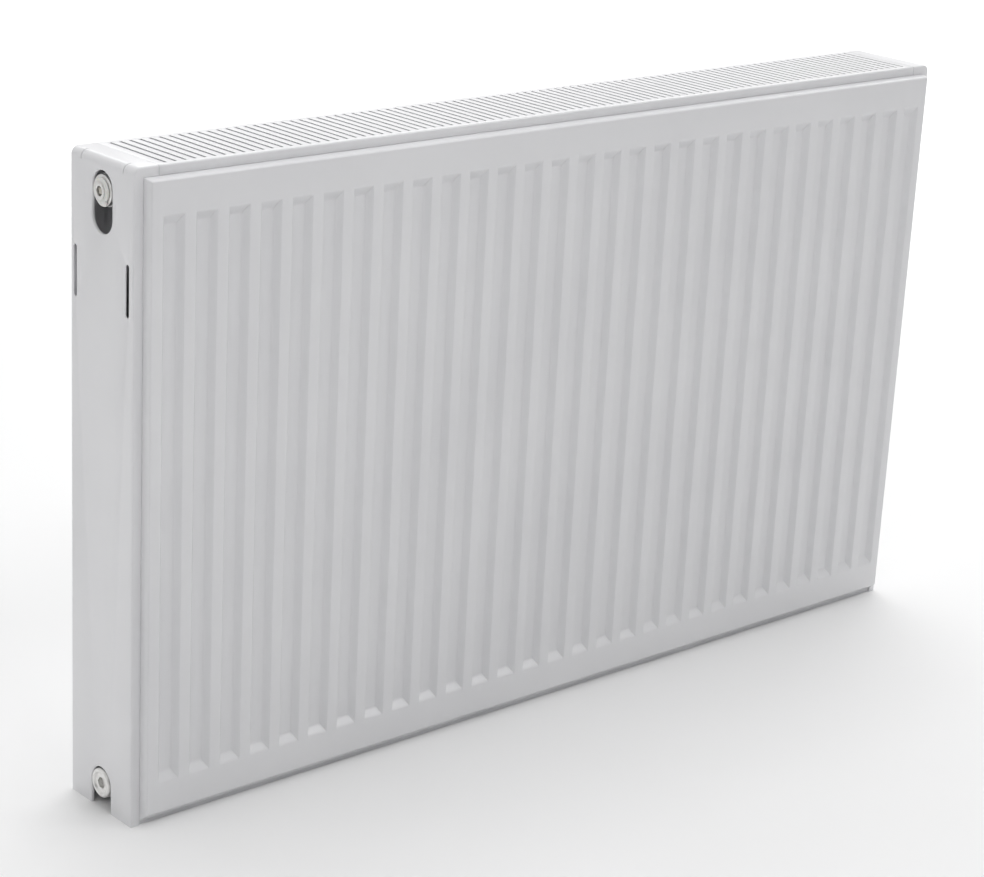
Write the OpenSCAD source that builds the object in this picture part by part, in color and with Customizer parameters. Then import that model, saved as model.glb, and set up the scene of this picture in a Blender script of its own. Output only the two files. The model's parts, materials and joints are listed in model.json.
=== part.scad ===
// Compact steel panel radiator: two water panels, two convectors, clip-on
// casing, and a manual air vent and a blind plug in its left-hand ports.
// Millimetres. +X along the length, the fluted face looks towards -Y, +Z up.
// The origin is the middle of the bounding box, on the surface it stands on.

/* [Overall size] */
// Length over the two side panels
length = 1000; // [600:100:2000]
// Height from the bottom edge to the top grille
height = 600; // [400:100:900]
// Depth from the fluted face to the back of the casing
depth = 106; // [104:1:120]

/* [Water panels] */
// Target width of one waterway, rounded to a whole number of them
waterway_pitch = 33.3; // [25:0.1:50]
// Thickness of a pressed water panel sheet
sheet_t = 1.1; // [1:0.05:1.3]
// Width of a flute at the face
flute_w = 22; // [16:0.5:24]
// Depth of a flute in the fluted face
flute_d = 6; // [4:0.5:7]
// Sideways run of a flute's long walls
flute_wall_run = 4; // [2:0.5:5]
// Run of a flute's sloped ends
flute_end_run = 8; // [4:0.5:10]
// Distance from the panel's top and bottom edges to the flutes
flute_margin = 41; // [36:1:60]
// Thickness of a water panel over its waterways
panel_t = 16.8; // [15:0.1:20]

/* [Casing] */
// How far the fluted face stands in front of the casing
face_proud = 9.5; // [8:0.5:12]
// Sheet thickness of the side panels
casing_t = 1; // [0.8:0.1:1.2]
// Sheet thickness of the top grille
grille_t = 0.8; // [0.6:0.1:1]
// Width of the lips that cover the edges of the water panels
lip_w = 9; // [8:0.5:9.5]
// Width of a side panel's wing over the top
wing_w = 24; // [20:1:30]
// Outer radius of the bend between a side panel and its wing
wing_bend_r = 7; // [3:0.5:9]
// Spacing of the grille's slots
slot_pitch = 10; // [8:0.5:14]
// Width of one grille slot
slot_w = 3; // [2:0.1:6]

/* [Ports] */
// Distance of the port axes from the water panels' top and bottom edges
port_inset = 25; // [25:1:30]
// Radius of the port hole in a side panel
port_hole_r = 16; // [15.5:0.1:17]
// Travel that a side panel has before its hooks let go
side_lift = 20; // [10:1:22]

/* [Hidden] */
$fn = 64;
eps = 0.01;

// Colours
powder_white = [0.93, 0.93, 0.94];
plate_nickel = [0.78, 0.78, 0.76];
vent_white = [0.9, 0.9, 0.88];
spring_grey = [0.6, 0.62, 0.65];
screw_brass = [0.72, 0.6, 0.35];
gasket_grey = [0.25, 0.25, 0.26];

// Water panels
waterways = round(length / waterway_pitch);
pitch = length / waterways;
edge_gap = 2;                       // panel edge to the casing's outer plane
panel_top = height - 4;             // top edge of the welded sheets
lip_gap = 0.4;                      // casing lip to the sheet behind it
outer_rise = face_proud + casing_t + lip_gap + sheet_t;
inner_rise = panel_t - outer_rise;
inner_flute_d = panel_t - flute_d - 2 * sheet_t;
pad_side = lip_w + 0.6;             // raised face: foot of its side walls
pad_run = 3;                        // run of its side and top walls
pad_bottom = 4;                     // foot of its bottom wall
pad_bottom_run = 8.5;
pad_top = height - lip_w - 0.5;

// Convectors
fin_t = 0.4;
fin_reach = 30;                     // how far the fins stand off the panel
fin_foot_w = 12;
fin_margin = 60;                    // fins start this far from either edge
finned = waterways - 2;             // waterways that carry a fin foot

// Lugs on the rear panel
lug_reach = 8;
lug_plate_t = 2;
lug_leg_w = 8;
lug_h = 40;
lug_inset = 80;                     // lug centre from the top or bottom edge
lug_flute = round(waterways * 0.367); // flute that a lug bridges, from the middle

// Casing
seam = 0.4;                         // gap between the wing and the grille
slot_turn = 2.2;                    // depth of a slot's turned-down edges
slot_front = 15.5;                  // grille slots run from here
slot_back = depth - 6.5;            // to here
port_low_z = port_inset;
port_high_z = panel_top - port_inset;
port_hole_drop = side_lift + 4;     // port hole runs on downwards by this much
port_hole_z = port_high_z + 2 - port_hole_drop / 2;
notch_top_z = port_low_z;           // centre of the bottom notch's arc
clip_slot_w = 5;
clip_slot_h = 46;
clip_slot_z = height - 107;         // centre of the clip slots
clip_slot_front = face_proud + 9.7;
clip_slot_back = depth - 7;
tongue_w = 5;
tongue_h = 40;
dart_w = 0.9;                       // relief cuts across the top bend
dart_len = 8;
dart_inset = 16.5;

// Ports, measured inwards from the outer plane of the side panel
port_y = (face_proud + depth) / 2;
port_mouth = 6;
port_bore_r = 9.32;                 // minor radius of a G 1/2 thread
port_bore_len = 16;
port_socket_r = 14.5;
tee_pipe_in = 32;                   // axis of the pipe that joins the panels
tee_pipe_r = 11;
tee_bore_r = 7.5;
tee_neck_r = 7;
socket_end = 26;

// Plugs in the left-hand ports
plug_r = 13.8;
plug_shank_r = port_bore_r - 0.08;
plug_end = 18;
gasket_t = 1.4;
plug_seat = port_mouth - gasket_t;
gasket_in_r = plug_shank_r + 0.3;
gasket_out_r = 12.8;
blind_proud = 1;                    // how far the blind plug stands out
blind_key_af = 10;
blind_key_depth = 5.5;
vent_flange_t = 4.2;
ring_w = 2.2;
ring_r = 11.2;
ring_in = plug_seat - vent_flange_t - 0.3;
ring_out = ring_in - ring_w;
retainer_r = 7.4;
retainer_in = ring_out - 0.3;
spigot_r = 6.5;
spigot_out = retainer_in - 0.4;     // outer end of the vent's spigot
ring_bore_r = spigot_r + 0.05;
nozzle_angle = 35;                  // nozzle, from straight down to the front
nozzle_tip_r = 14.3;
nozzle_w = 4.4;
head_recess_r = 4.3;
head_recess_in = 2.2;
screw_r = 2.45;
screw_bore_r = 2.5;
screw_head_af = 5;
screw_head_out = spigot_out + 1.2;
screw_end = 10.95;
chamber_r = 3.4;
chamber_out = 10;
chamber_in = 13.5;
pad_r = 3.35;
seal_pad_out = 11;
seal_pad_in = 13.45;
inlet_r = 1.2;

// Whole object, measured from the fluted face and the middle of the casing
overall_depth = depth + lug_reach;
origin_shift = [-spigot_out / 2, -overall_depth / 2, 0];

// Moves a shape from the build frame (Y = 0 on the fluted face) to its origin
module placed() translate(origin_shift) children();

// A profile drawn in X and Y, extruded upwards from z0 to z1
module along_z(z0, z1) translate([0, 0, z0]) linear_extrude(z1 - z0) children();

// A profile drawn in Y and Z, extruded from x0 to x1
module along_x(x0, x1) translate([x0, 0, 0]) rotate([90, 0, 90]) linear_extrude(x1 - x0) children();

// A profile drawn in X and Z, extruded from y0 to y1
module along_y(y0, y1) translate([0, y1, 0]) rotate([90, 0, 0]) linear_extrude(y1 - y0) children();

// Mirrors left-hand parts to the right-hand side
module right_hand() mirror([1, 0, 0]) children();

// Turns a front part into its rear twin
module rear_twin() translate([0, depth, 0]) mirror([0, 1, 0]) children();

// ---- Pressed sheets ----------------------------------------------------

// Raised field of a sheet, its face at Y = face_y, its foot at Y = foot_y
module raised_field(face_y, foot_y, inset) {
    foot_x = length / 2 - pad_side - inset;
    face_x = foot_x - pad_run;
    intersection() {
        along_z(-1, height)
            polygon([[-foot_x, foot_y], [-face_x, face_y], [face_x, face_y], [foot_x, foot_y]]);
        along_x(-length, length)
            polygon([[foot_y, pad_bottom + inset], [face_y, pad_bottom + pad_bottom_run + inset],
                     [face_y, pad_top - pad_run - inset], [foot_y, pad_top - inset]]);
    }
}

// All flutes of a sheet, from Y = start_y down to Y = floor_y, widened by grow
module flutes(start_y, floor_y, grow) {
    top_w = flute_w / 2 + grow;
    floor_w = top_w - flute_wall_run;
    low = flute_margin - grow;
    high = height - flute_margin + grow;
    intersection() {
        along_z(0, height)
            for (k = [1 : waterways - 1])
                translate([k * pitch - length / 2, 0])
                    polygon([[-top_w, start_y], [-floor_w, floor_y], [floor_w, floor_y], [top_w, start_y]]);
        along_x(-length, length)
            polygon([[start_y, low], [floor_y, low + flute_end_run],
                     [floor_y, high - flute_end_run], [start_y, high]]);
    }
}

// One pressed sheet: field, flutes and the flat edge that is seam welded
module pressed_sheet(rise, flute_depth) {
    edge_x = length / 2 - edge_gap;
    difference() {
        union() {
            raised_field(0, rise - sheet_t + eps, 0);
            along_z(0, panel_top) translate([-edge_x, rise - sheet_t]) square([2 * edge_x, sheet_t]);
            flutes(0, flute_depth + sheet_t, sheet_t);
        }
        difference() {
            raised_field(sheet_t, rise + eps, sheet_t);
            flutes(0, flute_depth + sheet_t, sheet_t);
        }
        flutes(-eps, flute_depth, 0);
    }
}

// Holes in an inner sheet where the four tees are brazed on
module tee_holes(y0, y1)
    for (side = [-1, 1], z = [port_low_z, port_high_z])
        translate([side * (length / 2 - tee_pipe_in), y0, z])
            rotate([-90, 0, 0]) cylinder(r = tee_bore_r, h = y1 - y0);

module inner_sheet() {
    difference() {
        translate([0, panel_t, 0]) mirror([0, 1, 0]) pressed_sheet(inner_rise, inner_flute_d);
        tee_holes(outer_rise, panel_t + 1);
    }
}

module front_panel_outer_sheet() color(powder_white) placed() pressed_sheet(outer_rise, flute_d);
module front_panel_inner_sheet() color(powder_white) placed() inner_sheet();
module rear_panel_inner_sheet() color(powder_white) placed() rear_twin() inner_sheet();
module rear_panel_outer_sheet() color(powder_white) placed() rear_twin() pressed_sheet(outer_rise, flute_d);

// ---- Convectors --------------------------------------------------------

// Folded strip with a foot on every waterway but the two outer ones
module convector_profile() {
    tip_w = pitch - fin_foot_w;
    for (k = [0 : finned - 1]) translate([(k - (finned - 1) / 2) * pitch, panel_t]) {
        translate([-fin_foot_w / 2, 0]) square([fin_foot_w, fin_t]);
        for (side = [-1, 1])
            translate([side * (fin_foot_w - fin_t) / 2 - fin_t / 2, 0]) square([fin_t, fin_reach]);
        if (k < finned - 1)
            translate([fin_foot_w / 2 - fin_t, fin_reach - fin_t]) square([tip_w + 2 * fin_t, fin_t]);
    }
}

module convector() along_z(fin_margin, height - fin_margin) convector_profile();
module front_convector() color(powder_white) placed() convector();
module rear_convector() color(powder_white) placed() rear_twin() convector();

// ---- Tees and lugs -----------------------------------------------------

// Tee at the left: a pipe between the panels and a socket towards -X
module tee(z) {
    in_x = -length / 2;
    translate([in_x, 0, z]) difference() {
        union() {
            translate([tee_pipe_in, panel_t, 0])
                rotate([-90, 0, 0]) cylinder(r = tee_pipe_r, h = depth - 2 * panel_t);
            translate([port_mouth, port_y, 0])
                rotate([0, 90, 0]) cylinder(r = port_socket_r, h = socket_end - port_mouth);
        }
        translate([tee_pipe_in, panel_t - 1, 0])
            rotate([-90, 0, 0]) cylinder(r = tee_bore_r, h = depth - 2 * panel_t + 2);
        translate([port_mouth - 1, port_y, 0])
            rotate([0, 90, 0]) cylinder(r = port_bore_r, h = port_bore_len + 1);
        translate([port_mouth, port_y, 0])
            rotate([0, 90, 0]) cylinder(r = tee_neck_r, h = tee_pipe_in - port_mouth);
    }
}

module tee_top_left() color(powder_white) placed() tee(port_high_z);
module tee_bottom_left() color(powder_white) placed() tee(port_low_z);
module tee_top_right() color(powder_white) placed() right_hand() tee(port_high_z);
module tee_bottom_right() color(powder_white) placed() right_hand() tee(port_low_z);

// Lug welded across a flute of the rear panel, open from top to bottom
module lug(z) {
    legs = pitch + lug_leg_w;
    translate([-lug_flute * pitch, depth, z - lug_h / 2]) difference() {
        translate([-legs / 2, 0, 0]) cube([legs, lug_reach, lug_h]);
        translate([-legs / 2 + lug_leg_w, -1, -1])
            cube([legs - 2 * lug_leg_w, lug_reach - lug_plate_t + 1, lug_h + 2]);
    }
}

module lug_top_left() color(powder_white) placed() lug(height - lug_inset);
module lug_bottom_left() color(powder_white) placed() lug(lug_inset);
module lug_top_right() color(powder_white) placed() right_hand() lug(height - lug_inset);
module lug_bottom_right() color(powder_white) placed() right_hand() lug(lug_inset);

// ---- Casing ------------------------------------------------------------

// Slot with round ends, drawn in Y and Z round its own centre
module long_slot(w, h) {
    square([w, h - w], center = true);
    for (end = [-1, 1]) translate([0, end * (h - w) / 2]) circle(d = w);
}

// Rounded block that the left side panel is folded from, shrunk by inset
module casing_block(inset, reach) {
    r = wing_bend_r - inset;
    left = inset - length / 2;
    top = height - inset;
    front = face_proud + inset;
    back = depth - inset;
    low = inset > 0 ? -1 : 0;
    along_y(front, back) difference() {
        translate([left, low]) square([reach, top - low]);
        translate([left, top - r]) difference() {
            translate([-eps, 0]) square([r + eps, r + eps]);
            translate([r, 0]) circle(r);
        }
    }
}

// Left side panel: web, wing over the top, lips, tongues and openings
module side_panel() {
    web_x = -length / 2;
    difference() {
        casing_block(0, wing_w);
        casing_block(casing_t, wing_w + 1);
        // front and back are open inside the lips
        translate([web_x + lip_w, face_proud - 1, -1])
            cube([wing_w, depth - face_proud + 2, height - lip_w + 1]);
        // port hole, which runs on downwards so that the panel can be lifted off
        translate([0, port_y, port_hole_z]) along_x(web_x - 1, web_x + 2)
            long_slot(2 * port_hole_r, 2 * port_hole_r + port_hole_drop);
        // notch round the lower port
        translate([0, port_y, 0]) along_x(web_x - 1, web_x + 2) {
            translate([0, notch_top_z]) circle(port_hole_r);
            translate([-port_hole_r, -1]) square([2 * port_hole_r, notch_top_z + 1]);
        }
        for (y = [clip_slot_front, clip_slot_back])
            translate([0, y, clip_slot_z]) along_x(web_x - 1, web_x + 2) long_slot(clip_slot_w, clip_slot_h);
        for (y = [face_proud + dart_inset, depth - dart_inset])
            translate([web_x - 1, y - dart_w / 2, height - dart_len])
                cube([dart_len + 1, dart_w, dart_len + 1]);
    }
    // tongues folded in from the clip slots, which grip the panels' edges
    for (y = [clip_slot_front, clip_slot_back])
        translate([web_x + casing_t - eps, y - clip_slot_w / 2 - casing_t, clip_slot_z - tongue_h / 2])
            cube([tongue_w, casing_t, tongue_h]);
}

module side_panel_left() color(powder_white) placed() side_panel();
module side_panel_right() color(powder_white) placed() right_hand() side_panel();

// Top grille: slotted plate with a lip folded down at the front and the back,
// and the long edges of every slot turned down
module top_grille() color(powder_white) placed() {
    half = length / 2 - wing_w - seam;
    slots = 2 * floor((half - 5) / slot_pitch);
    for (k = [0 : slots - 1], side = [-1, 1])
        translate([(k - (slots - 1) / 2) * slot_pitch + side * (slot_w + grille_t) / 2 - grille_t / 2,
                   slot_front, height - grille_t - slot_turn])
            cube([grille_t, slot_back - slot_front, slot_turn + eps]);
    along_z(height - grille_t, height) difference() {
        translate([-half, face_proud]) square([2 * half, depth - face_proud]);
        for (k = [0 : slots - 1])
            translate([(k - (slots - 1) / 2) * slot_pitch - slot_w / 2, slot_front])
                square([slot_w, slot_back - slot_front]);
    }
    for (y = [face_proud, depth - grille_t])
        translate([-half, y, height - lip_w]) cube([2 * half, grille_t, lip_w - grille_t + eps]);
}

// Saddles on the water panels' top edges, which the grille sits down on
module grille_clips() color(spring_grey) placed() {
    saddle_w = 18;
    saddle_t = 1.4;
    saddle_leg = 5;
    saddle_top = height - grille_t - slot_turn - 0.3;
    joint_y = outer_rise + sheet_t + 0.02;
    for (x = [-0.32, 0, 0.32]) translate([x * length - saddle_w / 2, 0, 0])
        for (back = [0, 1]) translate([0, back * depth, 0]) mirror([0, back, 0]) {
            translate([0, outer_rise - sheet_t, panel_top])
                cube([saddle_w, 2 * sheet_t + saddle_t, saddle_top - panel_top]);
            translate([0, joint_y, panel_top - saddle_leg])
                cube([saddle_w, saddle_t - 0.02, saddle_leg + eps]);
        }
}

// ---- Plugs and the air vent --------------------------------------------

// Places a shape whose +X is the way into the left port at height z
module at_left_port(z) translate([-length / 2, port_y, z]) children();

// Cylinder along X between two depths in the port
module rod_x(r, from, to) translate([from, 0, 0]) rotate([0, 90, 0]) cylinder(r = r, h = to - from);

module plug_gasket() difference() {
    rod_x(gasket_out_r, plug_seat, port_mouth);
    rod_x(gasket_in_r, plug_seat - 1, port_mouth + 1);
}

module vent_plug_gasket() color(gasket_grey) placed() at_left_port(port_high_z) plug_gasket();
module blind_plug_gasket() color(gasket_grey) placed() at_left_port(port_low_z) plug_gasket();

module vent_plug_body() color(plate_nickel) placed() at_left_port(port_high_z) difference() {
    union() {
        rod_x(plug_r, plug_seat - vent_flange_t, plug_seat);
        rod_x(plug_shank_r, plug_seat - eps, plug_end);
        rod_x(spigot_r, spigot_out, plug_seat);
        rod_x(retainer_r, spigot_out, retainer_in);
    }
    rod_x(head_recess_r, spigot_out - 1, head_recess_in);
    rod_x(screw_bore_r, head_recess_in - 1, chamber_out + eps);
    rod_x(chamber_r, chamber_out, chamber_in);
    rod_x(inlet_r, chamber_in - 1, plug_end + 1);
    // drain hole through the spigot into the outlet ring
    translate([(ring_in + ring_out) / 2, 0, 0]) cylinder(r = 0.6, h = spigot_r + 1, $fn = 24);
}

// Plastic ring that turns on the vent's spigot, with its drain nozzle
module vent_outlet_ring() color(vent_white) placed() at_left_port(port_high_z) {
    mid = (ring_in + ring_out) / 2;
    difference() {
        union() {
            rod_x(ring_r, ring_out, ring_in);
            rotate([-nozzle_angle, 0, 0]) translate([ring_out, -nozzle_w / 2, -nozzle_tip_r])
                cube([ring_w, nozzle_w, nozzle_tip_r - ring_r + 2]);
        }
        rod_x(ring_bore_r, ring_out - 1, ring_in + 1);
        // drain groove round the bore
        rod_x(spigot_r + 0.8, mid - 0.5, mid + 0.5);
        rotate([-nozzle_angle, 0, 0]) translate([mid, 0, -nozzle_tip_r - 1])
            cylinder(r = 0.6, h = nozzle_tip_r - spigot_r + 1, $fn = 24);
    }
}

// Brass screw with a square head for the bleed key
module bleed_screw() color(screw_brass) placed() at_left_port(port_high_z) {
    translate([screw_head_out, -screw_head_af / 2, -screw_head_af / 2])
        cube([head_recess_in - 0.3 - screw_head_out, screw_head_af, screw_head_af]);
    rod_x(screw_r, head_recess_in - 0.3 - eps, screw_end);
}

// Pad on the screw's end that closes the water inlet
module bleed_seal_pad() color(gasket_grey) placed() at_left_port(port_high_z)
    rod_x(pad_r, seal_pad_out, seal_pad_in);

module blind_plug() color(plate_nickel) placed() at_left_port(port_low_z) difference() {
    chamfer = 1.2;
    union() {
        rod_x(plug_r, chamfer - blind_proud, plug_seat);
        translate([-blind_proud, 0, 0]) rotate([0, 90, 0])
            cylinder(r1 = plug_r - chamfer, r2 = plug_r, h = chamfer);
        rod_x(plug_shank_r, plug_seat - eps, plug_end);
    }
    // dished face round the key's hexagon
    translate([-blind_proud - eps, 0, 0]) rotate([0, 90, 0])
        cylinder(r1 = plug_r - 3.2, r2 = plug_r - 5, h = 1.5);
    translate([-blind_proud - 1, 0, 0]) rotate([0, 90, 0])
        cylinder(d = blind_key_af / cos(30), h = blind_key_depth + 1, $fn = 6);
}

front_panel_outer_sheet();
front_panel_inner_sheet();
front_convector();
rear_convector();
rear_panel_inner_sheet();
rear_panel_outer_sheet();
tee_top_left();
tee_bottom_left();
tee_top_right();
tee_bottom_right();
lug_top_left();
lug_top_right();
lug_bottom_left();
lug_bottom_right();
side_panel_left();
side_panel_right();
top_grille();
grille_clips();
vent_plug_body();
vent_plug_gasket();
vent_outlet_ring();
bleed_screw();
bleed_seal_pad();
blind_plug();
blind_plug_gasket();
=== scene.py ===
"""Looks of a compact steel panel radiator with an air vent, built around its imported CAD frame."""

import json
import math

import bmesh
import bpy
from mathutils import Matrix, Vector


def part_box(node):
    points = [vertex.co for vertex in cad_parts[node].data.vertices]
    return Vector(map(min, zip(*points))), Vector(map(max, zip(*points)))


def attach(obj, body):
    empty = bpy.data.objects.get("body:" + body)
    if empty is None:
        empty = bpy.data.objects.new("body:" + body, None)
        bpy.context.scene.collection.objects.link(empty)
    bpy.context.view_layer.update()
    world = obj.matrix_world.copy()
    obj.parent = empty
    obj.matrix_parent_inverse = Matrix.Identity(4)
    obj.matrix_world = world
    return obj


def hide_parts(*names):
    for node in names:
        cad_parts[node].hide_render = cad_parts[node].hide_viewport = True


MM = 0.001
SHEET_T = 1.1 * MM          # pressed sheets of the water panels
CASING_T = 1.0 * MM         # side panels
GRILLE_T = 0.8 * MM         # top grille

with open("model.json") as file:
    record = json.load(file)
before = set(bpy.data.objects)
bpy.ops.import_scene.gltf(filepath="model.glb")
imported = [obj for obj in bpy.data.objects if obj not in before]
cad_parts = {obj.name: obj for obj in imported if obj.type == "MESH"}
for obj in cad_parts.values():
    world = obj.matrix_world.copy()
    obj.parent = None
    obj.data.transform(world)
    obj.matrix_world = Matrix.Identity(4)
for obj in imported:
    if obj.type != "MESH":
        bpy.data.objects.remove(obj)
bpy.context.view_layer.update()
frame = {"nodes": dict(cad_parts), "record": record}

# Places that everything else is worked out from
front_lo, front_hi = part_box("front_panel_outer_sheet")
rear_lo, rear_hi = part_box("rear_panel_outer_sheet")
side_lo, side_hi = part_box("side_panel_left")
right_lo, right_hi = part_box("side_panel_right")
grille_lo, grille_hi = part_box("top_grille")
plug_lo, plug_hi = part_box("vent_plug_body")
blind_lo, blind_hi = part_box("blind_plug")

MIDDLE_X = (front_lo.x + front_hi.x) / 2
HEIGHT = side_hi.z
LENGTH = right_hi.x - side_lo.x
WATERWAYS = 30
PITCH = LENGTH / WATERWAYS
PORT_Y = (side_lo.y + side_hi.y) / 2
VENT_Z = (plug_lo.z + plug_hi.z) / 2
BLIND_Z = (blind_lo.z + blind_hi.z) / 2


# ---- Materials -----------------------------------------------------------

class Graph:
    """Short names for adding and linking the nodes of one material."""

    def __init__(self, name):
        self.material = bpy.data.materials.new(name)
        self.material.use_nodes = True
        self.nodes = self.material.node_tree.nodes
        self.links = self.material.node_tree.links
        self.shader = self.nodes["Principled BSDF"]
        self.place = self.nodes.new("ShaderNodeTexCoord").outputs["Object"]

    def set(self, **values):
        """Constant values on the shader's own sockets."""
        for name, value in values.items():
            self.shader.inputs[name.replace("_", " ")].default_value = value

    def noise(self, scale, detail=3.0, stretch=None):
        node = self.nodes.new("ShaderNodeTexNoise")
        node.inputs["Scale"].default_value = scale
        node.inputs["Detail"].default_value = detail
        place = self.place
        if stretch:
            mapping = self.nodes.new("ShaderNodeMapping")
            mapping.inputs["Scale"].default_value = stretch
            self.links.new(place, mapping.inputs["Vector"])
            place = mapping.outputs["Vector"]
        self.links.new(place, node.inputs["Vector"])
        return node.outputs["Fac"]

    def ramp(self, value, low, high, start=0.3, end=0.7):
        """Maps value, from start to end, onto low to high."""
        node = self.nodes.new("ShaderNodeMapRange")
        node.inputs["From Min"].default_value = start
        node.inputs["From Max"].default_value = end
        node.inputs["To Min"].default_value = low
        node.inputs["To Max"].default_value = high
        self.links.new(value, node.inputs["Value"])
        return node.outputs["Result"]

    def mix(self, value, first, second):
        node = self.nodes.new("ShaderNodeMix")
        node.data_type = "RGBA"
        node.inputs["A"].default_value = (*first, 1)
        node.inputs["B"].default_value = (*second, 1)
        self.links.new(value, node.inputs["Factor"])
        return node.outputs["Result"]

    def bump(self, value, distance, strength=1.0, under=None):
        node = self.nodes.new("ShaderNodeBump")
        node.inputs["Distance"].default_value = distance
        node.inputs["Strength"].default_value = strength
        self.links.new(value, node.inputs["Height"])
        if under:
            self.links.new(under, node.inputs["Normal"])
        return node.outputs["Normal"]

    def drive(self, socket, value):
        self.links.new(value, self.shader.inputs[socket])


def powder_coat(name, pale, dark, rough, peel):
    """Baked powder coat: orange peel, faint cloudiness and a soft gloss."""
    g = Graph(name)
    g.set(Specular_IOR_Level=0.5, Coat_Weight=0.3, Coat_Roughness=0.14)
    cloud = g.noise(7, 4)
    g.drive("Base Color", g.mix(g.ramp(cloud, 0, 1), dark, pale))
    g.drive("Roughness", g.ramp(g.noise(60, 3), rough - 0.04, rough + 0.05))
    fine = g.bump(g.noise(900, 2), 0.00003 * peel, 0.5)
    g.drive("Normal", g.bump(g.noise(260, 2), 0.00012 * peel, 0.35, fine))
    return g.material


def plated_metal(name, bright, dull, rough, line_density):
    """Plated or bare metal with fine machining lines round the X axis and a faint tarnish."""
    g = Graph(name)
    g.set(Metallic=1.0)
    spots = g.noise(320, 4)
    g.drive("Base Color", g.mix(g.ramp(spots, 0, 1), dull, bright))
    g.drive("Roughness", g.ramp(g.noise(900, 3), rough - 0.06, rough + 0.1))
    lines = g.noise(40, 2, (line_density, 1, 1))
    g.drive("Normal", g.bump(lines, 0.00002, 0.5))
    return g.material


def moulded_plastic(name, pale, dark, rough):
    """White plastic with a fine mould texture and a little light passing under its surface."""
    g = Graph(name)
    g.set(Subsurface_Weight=0.08, Subsurface_Scale=0.002)
    g.drive("Base Color", g.mix(g.ramp(g.noise(140, 3), 0, 1), dark, pale))
    g.drive("Roughness", g.ramp(g.noise(500, 3), rough - 0.05, rough + 0.08))
    g.drive("Normal", g.bump(g.noise(2600, 2), 0.00002, 0.4))
    return g.material


def seal_rubber(name):
    g = Graph(name)
    g.drive("Base Color", g.mix(g.ramp(g.noise(300, 4), 0, 1), (0.012, 0.012, 0.013), (0.035, 0.035, 0.037)))
    g.drive("Roughness", g.ramp(g.noise(800, 3), 0.55, 0.75))
    g.drive("Normal", g.bump(g.noise(3000, 3), 0.00003, 0.5))
    return g.material


MATERIALS = {
    "white_coat": powder_coat("panel_powder_coat", (0.80, 0.80, 0.815), (0.765, 0.765, 0.782), 0.36, 1.0),
    "casing_coat": powder_coat("casing_powder_coat", (0.82, 0.82, 0.835), (0.79, 0.79, 0.806), 0.38, 0.8),
    "nickel": plated_metal("satin_nickel", (0.86, 0.855, 0.84), (0.78, 0.775, 0.76), 0.42, 40),
    "vent_plastic": moulded_plastic("vent_plastic", (0.80, 0.80, 0.775), (0.74, 0.74, 0.71), 0.42),
    "screw_brass": plated_metal("dulled_brass", (0.66, 0.635, 0.57), (0.50, 0.475, 0.42), 0.4, 40),
    "spring_steel": plated_metal("zinc_spring_steel", (0.62, 0.64, 0.67), (0.5, 0.52, 0.56), 0.4, 8),
    "seal": seal_rubber("seal_rubber"),
}


# ---- Mesh helpers --------------------------------------------------------

def new_object(name, verts, faces):
    mesh = bpy.data.meshes.new(name)
    mesh.from_pydata([tuple(v) for v in verts], [], faces)
    mesh.validate()
    obj = bpy.data.objects.new(name, mesh)
    bpy.context.scene.collection.objects.link(obj)
    return obj


def apply_modifier(obj, kind, **settings):
    """Adds one modifier and bakes it into the mesh."""
    modifier = obj.modifiers.new(kind.lower(), kind)
    for key, value in settings.items():
        setattr(modifier, key, value)
    bpy.context.view_layer.update()
    result = obj.evaluated_get(bpy.context.evaluated_depsgraph_get())
    mesh = bpy.data.meshes.new_from_object(result)
    obj.modifiers.clear()
    old = obj.data
    obj.data = mesh
    bpy.data.meshes.remove(old)


def cut(obj, tool, operation="DIFFERENCE"):
    """Boolean with tool, which is then removed."""
    apply_modifier(obj, "BOOLEAN", object=tool, operation=operation, solver="EXACT")
    bpy.data.objects.remove(tool)


def outward_normals(obj):
    bm = bmesh.new()
    bm.from_mesh(obj.data)
    bmesh.ops.remove_doubles(bm, verts=bm.verts, dist=1e-6)
    bmesh.ops.recalc_face_normals(bm, faces=bm.faces)
    bm.to_mesh(obj.data)
    bm.free()


def soften(obj, width, angle=40, segments=2):
    """Rounds the sharp edges a little and shades the rest smooth."""
    apply_modifier(obj, "BEVEL", width=width, segments=segments, limit_method="ANGLE",
                   angle_limit=math.radians(angle), use_clamp_overlap=True, harden_normals=False)
    shade(obj, angle)


def shade(obj, angle=35):
    """Smooth shading, with edges sharper than angle kept sharp."""
    obj.data.polygons.foreach_set("use_smooth", [True] * len(obj.data.polygons))
    obj.data.set_sharp_from_angle(angle=math.radians(angle))


def finish_piece(obj, body, slot, *nodes):
    """Gives a piece its material, its body and the CAD nodes it stands for."""
    obj.data.materials.clear()
    obj.data.materials.append(MATERIALS[slot])
    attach(obj, body)
    if nodes:
        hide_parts(*nodes)
    return obj


def join(name, parts):
    """One object from several closed meshes."""
    bm = bmesh.new()
    for part in parts:
        bm.from_mesh(part.data)
        bpy.data.objects.remove(part)
    obj = new_object(name, [], [])
    bm.to_mesh(obj.data)
    bm.free()
    return obj


def box_object(name, lo, hi):
    corners = [Vector((x, y, z)) for x in (lo[0], hi[0]) for y in (lo[1], hi[1]) for z in (lo[2], hi[2])]
    faces = [(0, 1, 3, 2), (4, 6, 7, 5), (0, 4, 5, 1), (2, 3, 7, 6), (0, 2, 6, 4), (1, 5, 7, 3)]
    return new_object(name, corners, faces)


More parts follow.
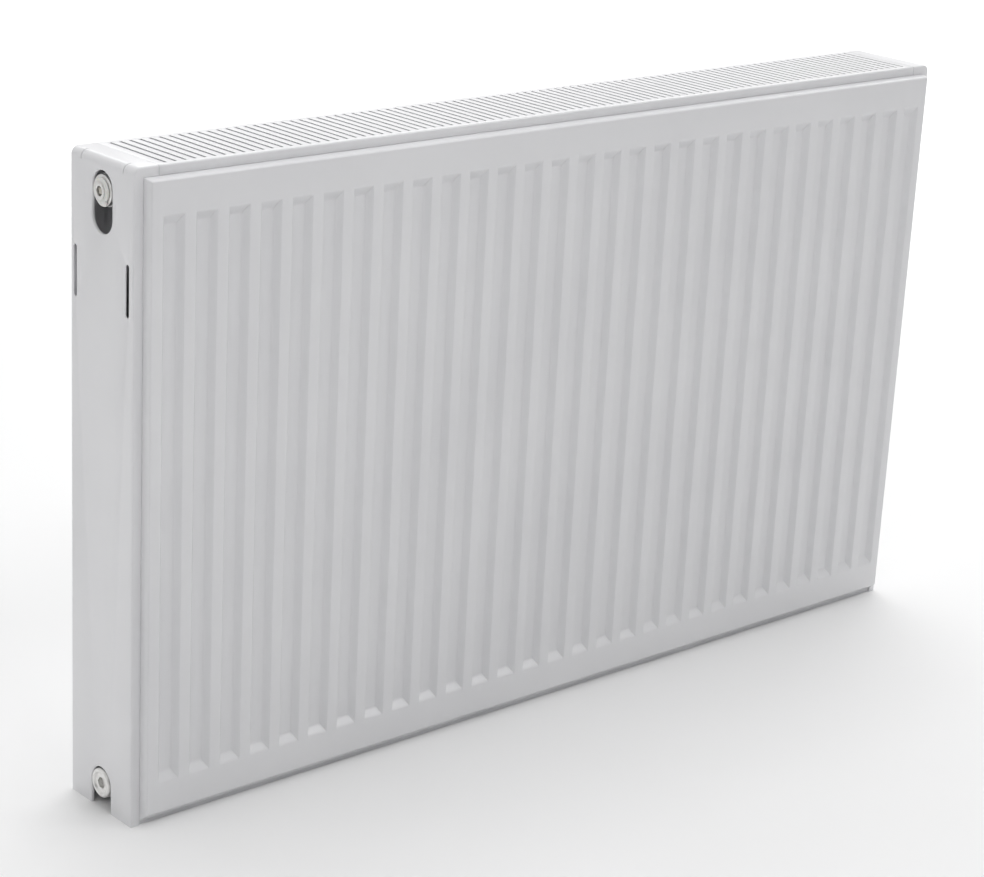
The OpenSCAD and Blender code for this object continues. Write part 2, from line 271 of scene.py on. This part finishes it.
def rounded_corners(points, steps=5):
    """Outline from (a, b, radius) corners, each with its own fillet."""
    out = []
    count = len(points)
    for i, (a, b, radius) in enumerate(points):
        here = Vector((a, b))
        if radius <= 0:
            out.append(here)
            continue
        before = (Vector(points[i - 1][:2]) - here).normalized()
        after = (Vector(points[(i + 1) % count][:2]) - here).normalized()
        half = before.angle(after) / 2
        reach = radius / math.tan(half)
        centre = here + (before + after).normalized() * (radius / math.sin(half))
        start = here + before * reach - centre
        end = here + after * reach - centre
        turn = start.angle_signed(end)
        for k in range(steps + 1):
            angle = -turn * k / steps
            spun = Vector((start.x * math.cos(angle) - start.y * math.sin(angle),
                           start.x * math.sin(angle) + start.y * math.cos(angle)))
            out.append(centre + spun)
    return out


def turned(name, profile, centre, steps=72, fillet_steps=4):
    """Solid of revolution round the X axis. The profile is (x, r, fillet) corners in millimetres, x inwards
    from centre; it starts and ends on the axis, or is a closed ring when it stays clear of it."""
    outline = rounded_corners(profile, fillet_steps)
    verts, faces = [], []
    for k in range(steps):
        angle = 2 * math.pi * k / steps
        for point in outline:
            verts.append((centre[0] + point.x * MM, centre[1] + point.y * MM * math.cos(angle),
                          centre[2] + point.y * MM * math.sin(angle)))
    n = len(outline)
    for k in range(steps):
        for i in range(n):
            a, b = k * n + i, k * n + (i + 1) % n
            c, d = (a + n) % (n * steps), (b + n) % (n * steps)
            faces.append((a, b, d, c))
    obj = new_object(name, verts, faces)
    clean_axis(obj)
    return obj


def clean_axis(obj):
    """Merges the points that a turned profile has on its axis, and drops the faces that leaves flat."""
    bm = bmesh.new()
    bm.from_mesh(obj.data)
    bmesh.ops.remove_doubles(bm, verts=bm.verts, dist=1e-7)
    bmesh.ops.dissolve_degenerate(bm, edges=bm.edges, dist=1e-7)
    bmesh.ops.recalc_face_normals(bm, faces=bm.faces)
    bm.to_mesh(obj.data)
    bm.free()


def prism_x(name, outline, x0, x1):
    """Closed prism along X from a list of (y, z) points in metres."""
    n = len(outline)
    verts = [(x, p[0], p[1]) for x in (x0, x1) for p in outline]
    faces = [tuple(range(n)), tuple(range(2 * n - 1, n - 1, -1))]
    faces += [(i, i + n, (i + 1) % n + n, (i + 1) % n) for i in range(n)]
    obj = new_object(name, verts, faces)
    outward_normals(obj)
    return obj


# ---- Pressed water panel sheets ------------------------------------------

FLUTE_W, FLUTE_D = 22 * MM, 6 * MM
FLUTE_WALL, FLUTE_END = 4.6 * MM, 8.5 * MM
FLUTE_MARGIN = 41 * MM
FIELD_SIDE = 9.08 * MM      # casing edge to the foot of the raised field
FIELD_ROUND = 3.2 * MM      # width of the field's rounded shoulder
FIELD_TOP = 9.08 * MM       # top edge to the foot of the raised field
FIELD_BOTTOM = 4 * MM       # floor to the foot of the field's slope
FIELD_BOTTOM_RUN = 8.6 * MM
GRID_GAP = 0.02 * MM        # grid positions closer than this are merged


def shoulder(t):
    """Wall that starts upright and rolls over into a flat face, for t from 0 to 1."""
    t = min(max(t, 0.0), 1.0)
    return (1 - (1 - t) ** 2.4) ** 0.5


def slope(t, soft=0.13):
    """Straight slope from 0 to 1 whose two ends are rounded over."""
    t = (min(max(t, -soft), 1 + soft) + soft) / (1 + 2 * soft)
    edge = 2 * soft / (1 + 2 * soft)
    gain = 1 / (1 - edge)
    if t < edge:
        return gain * t * t / (2 * edge)
    if t > 1 - edge:
        return 1 - gain * (1 - t) ** 2 / (2 * edge)
    return gain * (t - edge / 2)


def sheet_depth(x, z, rise):
    """Depth of the sheet's outer surface behind its face; x is from the middle, z from the floor."""
    field = (shoulder((LENGTH / 2 - FIELD_SIDE - abs(x)) / FIELD_ROUND)
             * shoulder((HEIGHT - FIELD_TOP - z) / FIELD_ROUND)
             * slope((z - FIELD_BOTTOM) / FIELD_BOTTOM_RUN, 0.12))
    nearest = round(x / PITCH)
    flute = 0.0
    if abs(nearest) <= WATERWAYS // 2 - 1:
        across = slope((FLUTE_W / 2 - abs(x - nearest * PITCH)) / FLUTE_WALL)
        along = slope((min(z, HEIGHT - z) - FLUTE_MARGIN) / FLUTE_END)
        flute = min(across, along)
    return rise * (1 - field) + FLUTE_D * flute


def grid_lines(breaks):
    """Sorted grid positions without near duplicates."""
    lines = []
    for value in sorted(breaks):
        if not lines or value - lines[-1] > GRID_GAP:
            lines.append(value)
    return lines


def fluted_sheet(name, lo, hi, outward, body, node):
    """Pressed sheet with its flutes; outward is -1 for the front sheet and 1 for the rear one."""
    edge_x = (hi.x - lo.x) / 2
    top = hi.z
    rise = hi.y - lo.y - SHEET_T
    face_y = lo.y if outward < 0 else hi.y
    shoulder_t = [0, 0.015, 0.05, 0.1, 0.18, 0.3, 0.45, 0.65, 0.85, 1]
    slope_t = [-0.13, -0.06, 0.03, 0.13, 0.3, 0.5, 0.7, 0.87, 0.97, 1.06, 1.13]
    xs = [-edge_x, edge_x]
    for t in shoulder_t:
        edge = LENGTH / 2 - FIELD_SIDE - t * FIELD_ROUND
        xs += [-edge, edge]
    for k in range(-(WATERWAYS // 2 - 1), WATERWAYS // 2):
        xs.append(k * PITCH)
        for t in slope_t:
            offset = FLUTE_W / 2 - t * FLUTE_WALL
            xs += [k * PITCH - offset, k * PITCH + offset]
    zs = [0, top, HEIGHT / 2]
    zs += [HEIGHT - FIELD_TOP - t * FIELD_ROUND for t in shoulder_t]
    zs += [FIELD_BOTTOM + t * FIELD_BOTTOM_RUN for t in slope_t]
    for t in slope_t:
        offset = FLUTE_MARGIN + t * FLUTE_END
        zs += [offset, HEIGHT - offset]
    zs += [HEIGHT * k / 8 for k in range(1, 8)]
    xs, zs = grid_lines(xs), grid_lines(z for z in zs if z <= top)
    verts, faces = [], []
    for back in (0, SHEET_T):
        for z in zs:
            for x in xs:
                depth = sheet_depth(x, z, rise) + back
                verts.append((MIDDLE_X + x, face_y - outward * depth, z))
    nx, nz = len(xs), len(zs)
    layer = nx * nz
    for j in range(nz - 1):
        for i in range(nx - 1):
            a = j * nx + i
            b, c, d = a + 1, a + nx + 1, a + nx
            depths = [outward * (face_y - verts[k][1]) for k in (a, b, c, d)]
            twist = depths[0] + depths[2] - depths[1] - depths[3]
            if abs(twist) < 0.01 * MM:
                cells = [(a, b, c, d)]
            else:
                middle = sheet_depth((xs[i] + xs[i + 1]) / 2, (zs[j] + zs[j + 1]) / 2, rise)
                ac_miss = abs((depths[0] + depths[2]) / 2 - middle)
                bd_miss = abs((depths[1] + depths[3]) / 2 - middle)
                cells = [(a, b, c), (a, c, d)] if ac_miss < bd_miss else [(a, b, d), (b, c, d)]
            for cell in cells:
                faces.append(cell)
                faces.append(tuple(k + layer for k in reversed(cell)))
    rim = list(range(nx)) + [j * nx + nx - 1 for j in range(1, nz)]
    rim += [(nz - 1) * nx + i for i in range(nx - 2, -1, -1)] + [j * nx for j in range(nz - 2, 0, -1)]
    for k, a in enumerate(rim):
        b = rim[(k + 1) % len(rim)]
        faces.append((a, a + layer, b + layer, b))
    obj = new_object(name, verts, faces)
    outward_normals(obj)
    shade(obj, 50)
    return finish_piece(obj, body, "white_coat", node)


# ---- Casing --------------------------------------------------------------

LIP_W = 9 * MM
WING_R = 7 * MM             # outer radius of the bend between web and wing
FOLD_R = 1.8 * MM           # outer radius of the folds at the front and the back
PORT_R = 16 * MM            # radius of the port hole's ends and of the notch
PORT_DROP = 24 * MM         # height of the port hole's straight sides
PORT_RISE = 2 * MM          # centre of the hole's upper end above the port's axis
NOTCH_Z = 25 * MM
# In millimetres: how much narrower a rolled-in rim leaves its hole, and tables of (depth from the web's outer
# face, how far the hole's outline grows there) for a rolled-in and for a plain punched hole
ROLL = 0.85
DRAWN_IN = [(-1.0, 0.6), (0.0, 0.6), (0.12, 0.1), (0.4, -0.35), (0.9, -0.7), (1.6, -ROLL), (6.0, -ROLL)]
PLAIN = [(-1.0, 0.4), (0.0, 0.4), (0.08, 0.2), (0.24, 0.08), (0.5, 0.0), (6.0, 0.0)]
COLLAR_DEPTH, COLLAR_WALL = 2.6 * MM, 1.0 * MM
CLIP_SLOT = (5 * MM, 46 * MM)
CLIP_Z = HEIGHT - 107 * MM
CLIP_YS = (side_lo.y + 9.7 * MM, side_hi.y - 7 * MM)
TONGUE_DEPTH, TONGUE_H = 5 * MM, 40 * MM
DART_INSET, DART_LEN, DART_W = 16.5 * MM, 8 * MM, 0.9 * MM


def bevel_edges(bm, wanted, width, segments):
    edges = [e for e in bm.edges if wanted(*(v.co for v in e.verts))]
    bmesh.ops.bevel(bm, geom=edges, offset=width, segments=segments, affect="EDGES", profile=0.5)


def folded_block(name, lo, hi, bend_r, fold_r):
    """Block whose top edge is bent round bend_r, and whose front and back outlines are rounded by fold_r."""
    obj = box_object(name, lo, hi)
    bm = bmesh.new()
    bm.from_mesh(obj.data)
    near = 1e-6
    bevel_edges(bm, lambda a, b: abs(a.x - lo[0]) < near and abs(b.x - lo[0]) < near
                and abs(a.z - hi[2]) < near and abs(b.z - hi[2]) < near, bend_r, 10)
    for y in (lo[1], hi[1]):
        bevel_edges(bm, lambda a, b: abs(a.y - y) < near and abs(b.y - y) < near
                    and max(a.x, b.x) < hi[0] + near
                    and not (abs(a.x - hi[0]) < near and abs(b.x - hi[0]) < near)
                    and not (abs(a.z - lo[2]) < near and abs(b.z - lo[2]) < near), fold_r, 4)
    bm.to_mesh(obj.data)
    bm.free()
    outward_normals(obj)
    return obj


def stadium(width, height, grow, steps=16):
    """Points (y, z) of a slot with round ends, round its own centre."""
    r = width / 2 + grow
    rise = (height - width) / 2
    points = []
    for end in (1, -1):
        for k in range(steps + 1):
            angle = math.pi * k / steps
            points.append((end * r * math.cos(angle), end * (rise + r * math.sin(angle))))
    return points


def notch_outline(grow, steps=24):
    """Points (y, z) of the notch round the lower port, open below."""
    r = PORT_R + grow
    arc = [(r * math.cos(math.pi * k / steps), NOTCH_Z + r * math.sin(math.pi * k / steps))
           for k in range(steps + 1)]
    return [(r, -5 * MM)] + arc + [(-r, -5 * MM)]


def flared_cutter(name, outline, centre, web_x, stations):
    """Cutter through a side panel's web that rounds the hole's outer edge over."""
    loops = [outline(grow * MM) for _, grow in stations]
    n = len(loops[0])
    verts = [(web_x + x * MM, centre[0] + y, centre[1] + z)
             for (x, _), loop in zip(stations, loops) for y, z in loop]
    faces = [tuple(range(n)), tuple(range(len(verts) - 1, len(verts) - n - 1, -1))]
    for s in range(len(stations) - 1):
        for i in range(n):
            a, b = s * n + i, s * n + (i + 1) % n
            faces.append((a, a + n, b + n, b))
    obj = new_object(name, verts, faces)
    outward_normals(obj)
    return obj


def left_side_panel():
    """The left side panel, folded from one sheet, in its place."""
    web = side_lo.x
    lo, hi = side_lo, side_hi
    obj = folded_block("side_panel", lo, hi, WING_R, FOLD_R)
    inner_lo = (lo.x + CASING_T, lo.y + CASING_T, lo.z - 5 * MM)
    inner_hi = (hi.x + 5 * MM, hi.y - CASING_T, hi.z - CASING_T)
    cut(obj, folded_block("inside", inner_lo, inner_hi, WING_R - CASING_T, FOLD_R - CASING_T))
    cut(obj, box_object("window", (web + LIP_W, lo.y - 5 * MM, lo.z - 6 * MM),
                        (hi.x + 6 * MM, hi.y + 5 * MM, hi.z - LIP_W)))
    port = (PORT_Y, VENT_Z + PORT_RISE - PORT_DROP / 2)

    def port_outline(grow):
        return stadium(2 * PORT_R, 2 * PORT_R + PORT_DROP, grow, 24)

    for name, outline, centre in (("port", port_outline, port), ("notch", notch_outline, (PORT_Y, 0))):
        collar = [(depth, COLLAR_WALL / MM - ROLL) for depth in (0.5, COLLAR_DEPTH / MM)]
        rim = flared_cutter("collar", outline, centre, web, collar)
        if name == "notch":
            cut(rim, box_object("below", (web - MM, lo.y, -8 * MM), (web + 9 * MM, hi.y, 0)))
        cut(obj, rim, "UNION")
        cut(obj, flared_cutter(name, outline, centre, web, DRAWN_IN))
    for y in CLIP_YS:
        cut(obj, flared_cutter("clip_slot", lambda g: stadium(*CLIP_SLOT, g, 8), (y, CLIP_Z), web, PLAIN))
    for y in (lo.y + DART_INSET, hi.y - DART_INSET):
        cut(obj, box_object("dart", (web - MM, y - DART_W / 2, hi.z - DART_LEN),
                            (web + DART_LEN, y + DART_W / 2, hi.z + MM)))
    tongues = []
    for y in CLIP_YS:
        near_y = y - CLIP_SLOT[0] / 2 - CASING_T
        tongue = box_object("tongue", (web + CASING_T, near_y, CLIP_Z - TONGUE_H / 2),
                            (web + CASING_T + TONGUE_DEPTH, near_y + CASING_T, CLIP_Z + TONGUE_H / 2))
        outward_normals(tongue)
        soften(tongue, 0.3 * MM)
        tongues.append(tongue)
    return join("side_panel_left_cover", [obj] + tongues)


def mirrored(obj, name):
    """Copy of a left-hand piece, mirrored to the right-hand end."""
    copy = bpy.data.objects.new(name, obj.data.copy())
    bpy.context.scene.collection.objects.link(copy)
    copy.data.transform(Matrix.Translation((2 * MIDDLE_X, 0, 0)) @ Matrix.Scale(-1, 4, (1, 0, 0)))
    copy.data.flip_normals()
    return copy


def side_panels():
    left = left_side_panel()
    shade(left, 32)
    right = mirrored(left, "side_panel_right_cover")
    finish_piece(left, "left_side", "casing_coat", "side_panel_left")
    finish_piece(right, "right_side", "casing_coat", "side_panel_right")


SLOT_PITCH, SLOT_W, SLOT_TURN = 10 * MM, 3 * MM, 2.2 * MM
SLOT_FRONT, SLOT_BACK = 6 * MM, 6.5 * MM   # slots stop this far from the front and back
GRILLE_BEND = 1.8 * MM
GRILLE_END = 5 * MM                        # least width of plain plate at each end


def top_grille():
    """Slotted top plate with its two folded lips."""
    lo, hi = grille_lo, grille_hi
    bend = [math.radians(a) for a in (0, 22.5, 45, 67.5, 90)]
    front = [(lo.y, lo.z)]
    front += [(lo.y + GRILLE_BEND * (1 - math.cos(a)), hi.z - GRILLE_BEND * (1 - math.sin(a))) for a in bend]
    back = [(lo.y + hi.y - y, z) for y, z in reversed(front)]
    profile = front + [(lo.y + SLOT_FRONT, hi.z), (hi.y - SLOT_BACK, hi.z)] + back
    slot_row = len(front)
    half = (hi.x - lo.x) / 2
    count = 2 * math.floor((half - GRILLE_END) / SLOT_PITCH)
    xs = [lo.x]
    for k in range(count):
        centre = MIDDLE_X + (k - (count - 1) / 2) * SLOT_PITCH
        xs += [centre - SLOT_W / 2, centre + SLOT_W / 2]
    xs.append(hi.x)
    rows = len(profile)
    verts = [(x, y, z) for x in xs for y, z in profile]
    faces = []
    for i in range(len(xs) - 1):
        for j in range(rows - 1):
            if j == slot_row and i % 2 == 1:
                continue
            a = i * rows + j
            faces.append((a, a + rows, a + rows + 1, a + 1))
    obj = new_object("top_grille_plate", verts, faces)
    edges_down = []
    for k in range(1, len(xs) - 1):
        x0 = xs[k] - GRILLE_T if k % 2 == 1 else xs[k]
        strip = box_object("edge", (x0, lo.y + SLOT_FRONT, hi.z - GRILLE_T - SLOT_TURN),
                           (x0 + GRILLE_T, hi.y - SLOT_BACK, hi.z - GRILLE_T / 2))
        edges_down.append(strip)
    apply_modifier(obj, "SOLIDIFY", thickness=GRILLE_T, offset=-1, use_even_offset=True)
    outward_normals(obj)
    soften(obj, 0.22 * MM, 60)
    turned_down = join("slot_edges", edges_down)
    outward_normals(turned_down)
    obj = join("top_grille_plate", [obj, turned_down])
    shade(obj, 60)
    finish_piece(obj, "grille", "casing_coat", "top_grille")


# ---- Plugs and the air vent ----------------------------------------------

def port_centre(z):
    """Point on the port's axis in the outer plane of the side panel."""
    return (side_lo.x, PORT_Y, z)


def vent_plug():
    """Nickel-plated plug with the spigot that the outlet ring turns on."""
    obj = turned("vent_plug", [
        (18, 1.2, 0), (18, 9.2, 0.6), (4.6, 9.2, 0), (4.6, 13.8, 0.3), (0.4, 13.8, 1.0), (0.4, 6.5, 0.1),
        (-2.4, 6.5, 0.1), (-2.4, 7.4, 0.15), (-2.8, 7.4, 0.15), (-2.8, 4.3, 0.3), (2.2, 4.3, 0.2),
        (2.2, 2.5, 0.1), (10, 2.5, 0), (10, 3.4, 0), (13.5, 3.4, 0), (13.5, 1.2, 0)], port_centre(VENT_Z))
    shade(obj, 30)
    finish_piece(obj, "radiator", "nickel", "vent_plug_body")


NOZZLE_ANGLE = math.radians(35)   # the drain nozzle points down and this far to the front
RIBS = 24


def vent_ring():
    """White plastic outlet ring with grip ribs and its drain nozzle."""
    centre = port_centre(VENT_Z)
    parts = [turned("ring", [(-2.05, 6.6, 0.15), (0.05, 6.6, 0.15), (0.05, 11.2, 0.3), (-0.8, 11.2, 0.2),
                             (-2.05, 9.7, 0.7)], centre)]
    down = Vector((0, -math.sin(NOZZLE_ANGLE), -math.cos(NOZZLE_ANGLE)))
    across = Vector((0, math.cos(NOZZLE_ANGLE), -math.sin(NOZZLE_ANGLE)))
    spout = []
    # Distance from the ring's axis, half width, and the faces' depths, of three sections
    sections = ((9.2, 2.4, -2.0, 0.05), (12.2, 2.2, -2.0, 0.05), (14.2, 1.7, -1.8, -0.1))
    for reach, wide, low, high in sections:
        for side, x in ((-1, low), (1, low), (1, high), (-1, high)):
            spot = Vector(centre) + down * reach * MM + across * side * wide * MM
            spout.append((spot.x + x * MM, spot.y, spot.z))
    faces = [(3, 2, 1, 0), (8, 9, 10, 11)]
    for s in (0, 4):
        faces += [(s + i, s + (i + 1) % 4, s + 4 + (i + 1) % 4, s + 4 + i) for i in range(4)]
    nozzle = new_object("nozzle", spout, faces)
    outward_normals(nozzle)
    soften(nozzle, 0.35 * MM, 30, 3)
    parts.append(nozzle)
    for k in range(RIBS):
        turn = 2 * math.pi * k / RIBS
        if abs(math.sin((turn - math.pi + NOZZLE_ANGLE) / 2)) < 0.2:
            continue
        rib = box_object("rib", (-1.0 * MM, -0.35 * MM, 10.7 * MM), (-0.1 * MM, 0.35 * MM, 11.5 * MM))
        outward_normals(rib)
        soften(rib, 0.15 * MM, 30, 1)
        rib.data.transform(Matrix.Translation(centre) @ Matrix.Rotation(turn, 4, "X"))
        parts.append(rib)
    obj = join("vent_outlet_ring_part", parts)
    shade(obj, 30)
    finish_piece(obj, "vent_ring", "vent_plastic", "vent_outlet_ring")


def bleed_screw():
    """Square-headed screw of dulled brass."""
    centre = port_centre(VENT_Z)
    shank = turned("shank", [(10.95, 0, 0), (10.95, 2.45, 0.3), (1.9, 2.45, 0), (1.9, 0, 0)], centre, 40)
    head = box_object("head", (-1.6 * MM, -2.5 * MM, -2.5 * MM), (1.9 * MM, 2.5 * MM, 2.5 * MM))
    outward_normals(head)
    head.data.transform(Matrix.Translation(centre))
    soften(head, 0.35 * MM, 40, 3)
    obj = join("bleed_screw_part", [shank, head])
    shade(obj, 30)
    finish_piece(obj, "vent_screw", "screw_brass", "bleed_screw")


def blind_plug():
    """Nickel-plated plug with a rolled rim, a dished face and a hexagon socket."""
    centre = port_centre(BLIND_Z)
    obj = turned("blind_plug_part", [
        (18, 0, 0), (18, 9.2, 0.8), (4.6, 9.2, 0), (4.6, 13.8, 0.3), (-1.0, 13.8, 2.0), (-1.0, 10.6, 1.0),
        (0.5, 8.8, 0.8), (0.5, 0, 0)], centre)
    corner = 10 * MM / math.sqrt(3)   # the key is 10 mm across flats
    hexagon = [(centre[1] + corner * math.cos(math.pi * k / 3),
                centre[2] + corner * math.sin(math.pi * k / 3)) for k in range(6)]
    cut(obj, prism_x("key", hexagon, centre[0] - 6 * MM, centre[0] + 4.5 * MM))
    shade(obj, 30)
    finish_piece(obj, "radiator", "nickel", "blind_plug")


def gaskets():
    for node, z in (("vent_plug_gasket", VENT_Z), ("blind_plug_gasket", BLIND_Z)):
        obj = turned(node + "_ring", [(4.6, 9.6, 0.5), (6.0, 9.6, 0.5), (6.0, 12.8, 0.6), (4.6, 12.8, 0.6)],
                     port_centre(z))
        shade(obj, 40)
        finish_piece(obj, "radiator", "seal", node)


# ---- Carried CAD nodes, lugs and welds -----------------------------------

def lug(node):
    """Bent strap welded over a flute of the rear panel."""
    lo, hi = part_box(node)
    leg, plate = 8 * MM, 2 * MM
    outline = [(lo.x, lo.y, 0), (lo.x, hi.y, 2.4 * MM), (hi.x, hi.y, 2.4 * MM), (hi.x, lo.y, 0),
               (hi.x - leg, lo.y, 0), (hi.x - leg, hi.y - plate, 0.9 * MM),
               (lo.x + leg, hi.y - plate, 0.9 * MM), (lo.x + leg, lo.y, 0)]
    points = rounded_corners(outline)
    n = len(points)
    verts = [(p.x, p.y, z) for z in (lo.z, hi.z) for p in points]
    faces = [tuple(range(n)), tuple(range(2 * n - 1, n - 1, -1))]
    faces += [(i, i + n, (i + 1) % n + n, (i + 1) % n) for i in range(n)]
    obj = new_object(node + "_strap", verts, faces)
    outward_normals(obj)
    soften(obj, 0.5 * MM, 50, 2)
    finish_piece(obj, "radiator", "white_coat", node)
    inset = 4 * MM
    for suffix, x in (("_weld_a", lo.x), ("_weld_b", hi.x)):
        weld_bead(node + suffix, (x, lo.y, lo.z + inset), hi.z - lo.z - 2 * inset)


def weld_bead(name, foot, height):
    """Rippled fillet weld that runs upwards from foot."""
    rings, around = 36, 10
    verts, faces = [], []
    for k in range(rings + 1):
        t = k / rings
        ripple = 1 + 0.10 * math.sin(t * 70) + 0.05 * math.sin(t * 23 + 1.0)
        r = 1.5 * MM * ripple * min(1, 6 * min(t, 1 - t) + 0.25)
        for i in range(around):
            angle = 2 * math.pi * i / around
            verts.append((foot[0] + r * math.cos(angle), foot[1] + r * math.sin(angle), foot[2] + t * height))
    for k in range(rings):
        for i in range(around):
            a, b = k * around + i, k * around + (i + 1) % around
            faces.append((a, b, b + around, a + around))
    faces += [tuple(range(around - 1, -1, -1)), tuple(range(rings * around, (rings + 1) * around))]
    obj = new_object(name, verts, faces)
    outward_normals(obj)
    shade(obj, 60)
    finish_piece(obj, "radiator", "white_coat")


def coat_carried_nodes():
    """Each CAD node that stays visible gets the procedural material of its slot."""
    slots = {s["node"]: s["material_slot"] for s in frame["record"]["subparts"]}
    for name, obj in frame["nodes"].items():
        if obj.hide_render:
            continue
        obj.data.materials.clear()
        obj.data.materials.append(MATERIALS[slots[name]])


# ---- Stage ---------------------------------------------------------------

def camera(place, azimuth, elevation, roll, lens):
    """Camera at place that looks along azimuth (0 is +Y) and down by elevation, in degrees."""
    a, e, r = (math.radians(v) for v in (azimuth, elevation, roll))
    back = Vector((math.sin(a) * math.cos(e), -math.cos(a) * math.cos(e), math.sin(e)))
    right = Vector((0, 0, 1)).cross(back).normalized()
    up = back.cross(right)
    turned_right = math.cos(r) * right + math.sin(r) * up
    turned_up = math.cos(r) * up - math.sin(r) * right
    data = bpy.data.cameras.new("camera")
    data.lens = lens
    data.sensor_width = 36
    data.sensor_fit = "HORIZONTAL"
    obj = bpy.data.objects.new("camera", data)
    bpy.context.scene.collection.objects.link(obj)
    facing = Matrix((turned_right, turned_up, back)).transposed().to_4x4()
    obj.matrix_world = Matrix.Translation(place) @ facing
    bpy.context.scene.camera = obj


def area_light(name, place, target, size, power):
    data = bpy.data.lights.new(name, "AREA")
    data.shape = "RECTANGLE"
    data.size, data.size_y = size
    data.energy = power
    obj = bpy.data.objects.new(name, data)
    bpy.context.scene.collection.objects.link(obj)
    obj.location = place
    obj.rotation_euler = (Vector(target) - Vector(place)).to_track_quat("-Z", "Y").to_euler()


def sweep_world(front, behind):
    """World light that is white behind the radiator, seen from the front left, and dimmer elsewhere."""
    world = bpy.data.worlds.new("studio")
    world.use_nodes = True
    nodes, links = world.node_tree.nodes, world.node_tree.links
    facing = nodes.new("ShaderNodeVectorMath")
    facing.operation = "DOT_PRODUCT"
    facing.inputs[1].default_value = (0.65, 0.74, 0.17)
    level = nodes.new("ShaderNodeMapRange")
    level.interpolation_type = "SMOOTHSTEP"
    for socket, value in (("From Min", -0.35), ("From Max", 0.65), ("To Min", front), ("To Max", behind)):
        level.inputs[socket].default_value = value
    links.new(nodes.new("ShaderNodeTexCoord").outputs["Generated"], facing.inputs[0])
    links.new(facing.outputs["Value"], level.inputs["Value"])
    links.new(level.outputs["Result"], nodes["Background"].inputs["Strength"])
    nodes["Background"].inputs["Color"].default_value = (1, 1, 1, 1)
    bpy.context.scene.world = world


def studio():
    """Pale floor, a white sweep behind and soft lights above, at the left and in front."""
    g = Graph("studio_floor")
    g.set(Roughness=0.9)
    g.drive("Base Color", g.mix(g.ramp(g.noise(3, 2), 0, 1), (0.945, 0.945, 0.945), (0.96, 0.96, 0.96)))
    floor = new_object("studio_floor", [(-9, -9, 0), (9, -9, 0), (9, 9, 0), (-9, 9, 0)], [(0, 1, 2, 3)])
    floor.data.materials.append(g.material)
    bpy.context.scene.view_settings.view_transform = "Standard"
    sweep_world(0.02, 0.75)
    middle = (0, 0, 0.35)
    area_light("overhead", (0.0, 0.2, 2.8), middle, (2.6, 1.6), 18)
    area_light("front_top", (-0.2, -1.9, 2.9), middle, (1.8, 0.9), 19)
    area_light("front_left", (-1.9, -1.3, 1.9), (-0.3, 0, 0.4), (1.3, 1.3), 12)
    area_light("key", (2.1, -2.2, 2.35), (-0.2, 0, 0.2), (1.1, 1.1), 17)
    area_light("left_back", (-2.6, 0.9, 1.2), middle, (1.6, 1.6), 9)
    area_light("backdrop", (3.0, 3.6, 3.0), (3.6, 4.2, 0), (5.0, 5.0), 210)


camera(Vector((-1.660325, -1.796188, 1.088516)), azimuth=-41.898, elevation=18.744, roll=3.011, lens=95.23)
studio()
fluted_sheet("front_fluted_sheet", front_lo, front_hi, -1, "radiator", "front_panel_outer_sheet")
fluted_sheet("rear_fluted_sheet", rear_lo, rear_hi, 1, "radiator", "rear_panel_outer_sheet")
side_panels()
top_grille()
vent_plug()
vent_ring()
bleed_screw()
blind_plug()
gaskets()
for lug_node in ("lug_top_left", "lug_top_right", "lug_bottom_left", "lug_bottom_right"):
    lug(lug_node)
coat_carried_nodes()
